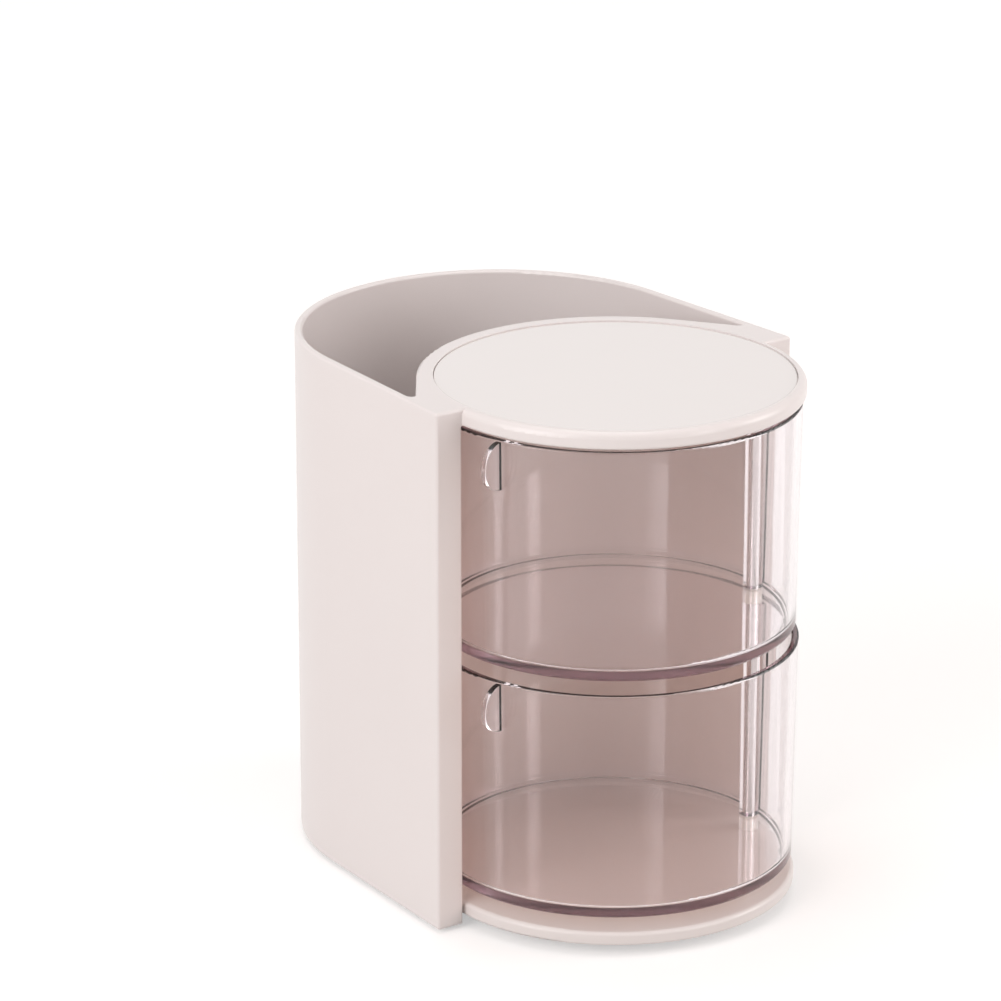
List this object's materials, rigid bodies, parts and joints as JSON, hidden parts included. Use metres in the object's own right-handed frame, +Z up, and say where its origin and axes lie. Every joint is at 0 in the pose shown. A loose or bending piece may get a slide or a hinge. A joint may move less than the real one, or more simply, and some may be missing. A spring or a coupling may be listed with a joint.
{
  "type": "brush holder with swing-out drawers",
  "caption": "Desktop holder: an open crescent brush bin wrapped round a lidded drum whose clear round drawers swing out on one upright rod.",
  "frame": {"origin": "middle of the footprint, at the level that the feet stand on", "axes": "+Z up, -Y towards the drawers, +X towards the hinge rod"},
  "size_m": [0.1064, 0.1444, 0.1326],
  "materials": {
    "body": "satin warm white",
    "base": "satin warm white",
    "disc": "polished warm white",
    "drawer": "clear moulded plastic, faint mauve tint",
    "rod": "drawn steel",
    "spacer": "natural nylon",
    "screw": "zinc plated",
    "foot": "matt"
  },
  "bodies": {
    "holder": {"body_shell": "body", "base_plate": "base", "cover_disc": "disc", "hinge_rod": "rod", "lower_spacer": "spacer", "middle_spacer": "spacer", "top_spacer": "spacer", "base_screws": "screw", "rubber_feet": "foot"},
    "lower_drawer": {"lower_drawer": "drawer"},
    "upper_drawer": {"upper_drawer": "drawer"}
  },
  "joints": [
    {"name": "lower_drawer_swing", "type": "hinge", "parent": "holder", "child": "lower_drawer", "pos_m": [0.03901, -0.03245, 0.00985], "axis": [0, 0, 1], "range_deg": [0, 90]},
    {"name": "upper_drawer_swing", "type": "hinge", "parent": "holder", "child": "upper_drawer", "pos_m": [0.03901, -0.03245, 0.0704], "axis": [0, 0, 1], "range_deg": [0, 90]}
  ]
}
